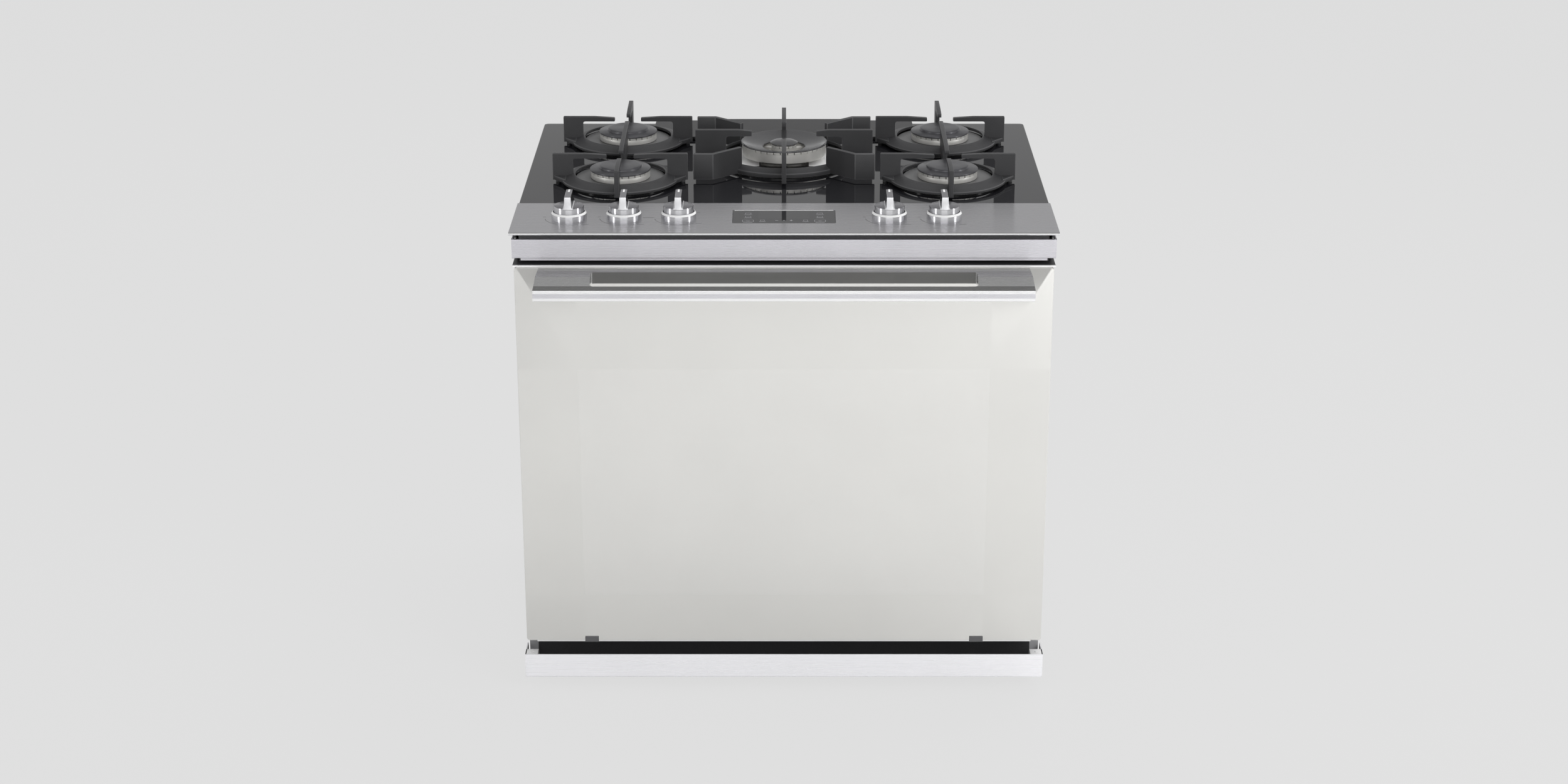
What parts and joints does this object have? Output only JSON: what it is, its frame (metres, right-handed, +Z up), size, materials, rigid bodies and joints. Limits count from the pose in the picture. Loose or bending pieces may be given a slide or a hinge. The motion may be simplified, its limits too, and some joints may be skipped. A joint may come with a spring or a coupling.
{
  "type": "freestanding gas range",
  "caption": "Gas range with burners under cast grates on a black glass cooktop, push-and-turn knobs and an oven with sliding racks behind a drop-down mirror-glass door.",
  "frame": {"origin": "on the floor under the middle of the overall outline, handle included", "axes": "+Z up, +X to the right of someone standing at the range, -Y towards them (the door and handle side)"},
  "size_m": [0.762, 0.6514, 0.756],
  "materials": {
    "cabinet_steel": "galvanised sheet",
    "oven_enamel": "glossy dark grey enamel",
    "brushed_steel": "fine brushed",
    "foot_plastic": "matt black",
    "burner_aluminium": "cast, lightly satin",
    "bowl_steel": "polished",
    "lamp_glass": "clear",
    "inner_glass": "clear, heat reflecting",
    "wool": "mineral wool",
    "gasket_rubber": "woven",
    "black_glass": "black ceramic, glossy",
    "vent_black": "satin black",
    "gas_brass": "plain",
    "cap_enamel": "satin dark grey enamel",
    "door_mirror": "half-mirrored warm grey",
    "knob_chrome": "satin",
    "rack_chrome": "bright",
    "cast_iron": "satin black enamel"
  },
  "bodies": {
    "cabinet": {"base_pan": "cabinet_steel", "side_panel_left": "cabinet_steel", "side_panel_right": "cabinet_steel", "back_panel": "cabinet_steel", "front_frame": "oven_enamel", "kick_strip": "brushed_steel", "foot_front_left": "foot_plastic", "foot_front_right": "foot_plastic", "foot_rear_left": "foot_plastic", "foot_rear_right": "foot_plastic", "oven_liner": "oven_enamel", "oven_floor": "oven_enamel", "bake_burner": "burner_aluminium", "oven_lamp": "lamp_glass", "insulation": "wool", "door_gasket": "gasket_rubber", "burner_box": "cabinet_steel", "cooktop_glass": "black_glass", "control_panel": "brushed_steel", "touch_panel": "black_glass", "front_trim": "brushed_steel", "rear_vent": "vent_black", "gas_manifold": "gas_brass", "drip_bowl_left_front": "bowl_steel", "drip_bowl_left_rear": "bowl_steel", "drip_bowl_right_front": "bowl_steel", "drip_bowl_right_rear": "bowl_steel", "drip_bowl_centre": "bowl_steel", "burner_head_left_front": "burner_aluminium", "burner_head_left_rear": "burner_aluminium", "burner_head_right_front": "burner_aluminium", "burner_head_right_rear": "burner_aluminium", "burner_head_centre": "burner_aluminium", "burner_cap_left_front": "cap_enamel", "burner_cap_left_rear": "cap_enamel", "burner_cap_right_front": "cap_enamel", "burner_cap_right_rear": "cap_enamel", "burner_cap_centre": "cap_enamel", "burner_cap_inner": "cap_enamel", "hinge_arm_left": "cabinet_steel", "hinge_arm_right": "cabinet_steel"},
    "door": {"door_frame": "oven_enamel", "door_glass": "door_mirror", "inner_window": "inner_glass", "handle": "brushed_steel"},
    "upper_rack": {"rack_upper": "rack_chrome"},
    "lower_rack": {"rack_lower": "rack_chrome"},
    "stem_1": {"valve_stem_1": "gas_brass"},
    "knob_1": {"knob_1": "knob_chrome"},
    "stem_2": {"valve_stem_2": "gas_brass"},
    "knob_2": {"knob_2": "knob_chrome"},
    "stem_3": {"valve_stem_3": "gas_brass"},
    "knob_3": {"knob_3": "knob_chrome"},
    "stem_4": {"valve_stem_4": "gas_brass"},
    "knob_4": {"knob_4": "knob_chrome"},
    "stem_5": {"valve_stem_5": "gas_brass"},
    "knob_5": {"knob_5": "knob_chrome"},
    "left_grate": {"grate_left": "cast_iron"},
    "centre_grate": {"grate_centre": "cast_iron"},
    "right_grate": {"grate_right": "cast_iron"}
  },
  "joints": [
    {"name": "door_hinge", "type": "hinge", "parent": "cabinet", "child": "door", "pos_m": [0, -0.24925, 0.105], "axis": [1, 0, 0], "range_deg": [0, 90], "stiffness_Nm_per_rad": 12, "springref_deg": -17.19},
    {"name": "upper_rack_slide", "type": "slide", "parent": "cabinet", "child": "upper_rack", "axis": [0, -1, 0], "range_m": [0, 0.3]},
    {"name": "lower_rack_slide", "type": "slide", "parent": "cabinet", "child": "lower_rack", "axis": [0, -1, 0], "range_m": [0, 0.24]},
    {"name": "knob_press_1", "type": "slide", "parent": "cabinet", "child": "stem_1", "axis": [0, 0, -1], "range_m": [0, 0.003], "stiffness_N_per_m": 800, "springref_m": -0.006},
    {"name": "knob_turn_1", "type": "hinge", "parent": "stem_1", "child": "knob_1", "pos_m": [-0.302, -0.19575, 0.72], "axis": [0, 0, 1], "range_deg": [0, 270]},
    {"name": "knob_press_2", "type": "slide", "parent": "cabinet", "child": "stem_2", "axis": [0, 0, -1], "range_m": [0, 0.003], "stiffness_N_per_m": 800, "springref_m": -0.006},
    {"name": "knob_turn_2", "type": "hinge", "parent": "stem_2", "child": "knob_2", "pos_m": [-0.225, -0.19575, 0.72], "axis": [0, 0, 1], "range_deg": [0, 270]},
    {"name": "knob_press_3", "type": "slide", "parent": "cabinet", "child": "stem_3", "axis": [0, 0, -1], "range_m": [0, 0.003], "stiffness_N_per_m": 800, "springref_m": -0.006},
    {"name": "knob_turn_3", "type": "hinge", "parent": "stem_3", "child": "knob_3", "pos_m": [-0.148, -0.19575, 0.72], "axis": [0, 0, 1], "range_deg": [0, 270]},
    {"name": "knob_press_4", "type": "slide", "parent": "cabinet", "child": "stem_4", "axis": [0, 0, -1], "range_m": [0, 0.003], "stiffness_N_per_m": 800, "springref_m": -0.006},
    {"name": "knob_turn_4", "type": "hinge", "parent": "stem_4", "child": "knob_4", "pos_m": [0.148, -0.19575, 0.72], "axis": [0, 0, 1], "range_deg": [0, 270]},
    {"name": "knob_press_5", "type": "slide", "parent": "cabinet", "child": "stem_5", "axis": [0, 0, -1], "range_m": [0, 0.003], "stiffness_N_per_m": 800, "springref_m": -0.006},
    {"name": "knob_turn_5", "type": "hinge", "parent": "stem_5", "child": "knob_5", "pos_m": [0.225, -0.19575, 0.72], "axis": [0, 0, 1], "range_deg": [0, 270]},
    {"name": "left_grate_lift", "type": "slide", "parent": "cabinet", "child": "left_grate", "axis": [0, 0, 1], "range_m": [0, 0.08]},
    {"name": "centre_grate_lift", "type": "slide", "parent": "cabinet", "child": "centre_grate", "axis": [0, 0, 1], "range_m": [0, 0.08]},
    {"name": "right_grate_lift", "type": "slide", "parent": "cabinet", "child": "right_grate", "axis": [0, 0, 1], "range_m": [0, 0.08]}
  ],
  "couplings": [
    {"joint": "upper_rack_slide", "follows": "door_hinge", "m_per_rad": 0.19},
    {"joint": "lower_rack_slide", "follows": "door_hinge", "m_per_rad": 0.15}
  ]
}
